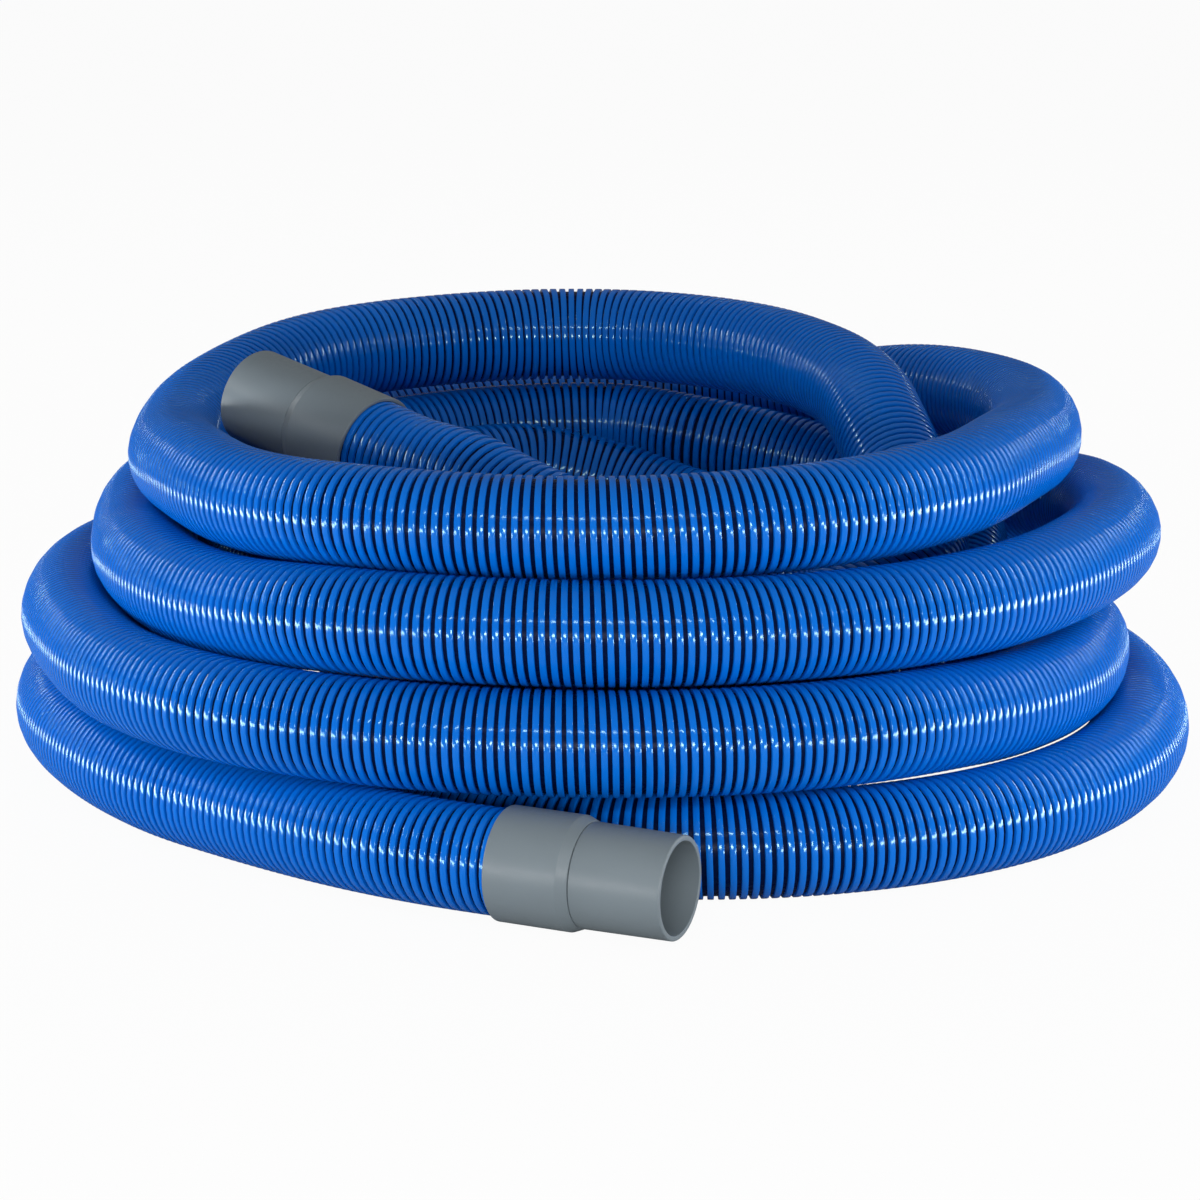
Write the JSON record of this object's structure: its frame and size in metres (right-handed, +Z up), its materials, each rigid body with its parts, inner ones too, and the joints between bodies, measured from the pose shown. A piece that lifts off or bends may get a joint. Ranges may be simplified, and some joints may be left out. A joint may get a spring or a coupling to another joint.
{
  "type": "ribbed suction hose with swivel cuffs",
  "caption": "Ribbed suction hose lying in a loose coil, with a grey swivel cuff on each end for a pool vacuum.",
  "frame": {"origin": "centre of the bounding box in plan, at the ground under the coil", "axes": "+Z up, -Y towards the front of the coil, where the front cuff lies; +X to the right seen from the front"},
  "size_m": [0.7078, 0.7956, 0.2523],
  "materials": {
    "hose": "semi-gloss blue plastic with dark blue grooves between the ribs",
    "cuff": "satin grey moulded plastic",
    "seal": "black rubber"
  },
  "bodies": {
    "hose": {"hose_coil": "hose", "hose_front_run": "hose", "hose_rear_run": "hose", "front_collar": "cuff", "front_seal_ring": "seal", "rear_collar": "cuff", "rear_seal_ring": "seal"},
    "front_spigot": {"front_spigot": "cuff"},
    "rear_spigot": {"rear_spigot": "cuff"}
  },
  "joints": [
    {"name": "front_swivel", "type": "hinge", "parent": "hose", "child": "front_spigot", "pos_m": [-0.00725, -0.3488, 0.03174], "axis": [0.9075, -0.4196, -0.0166], "continuous": true},
    {"name": "rear_swivel", "type": "hinge", "parent": "hose", "child": "rear_spigot", "pos_m": [-0.16379, -0.02654, 0.21378], "axis": [-0.7345, 0.6512, 0.191], "continuous": true}
  ]
}
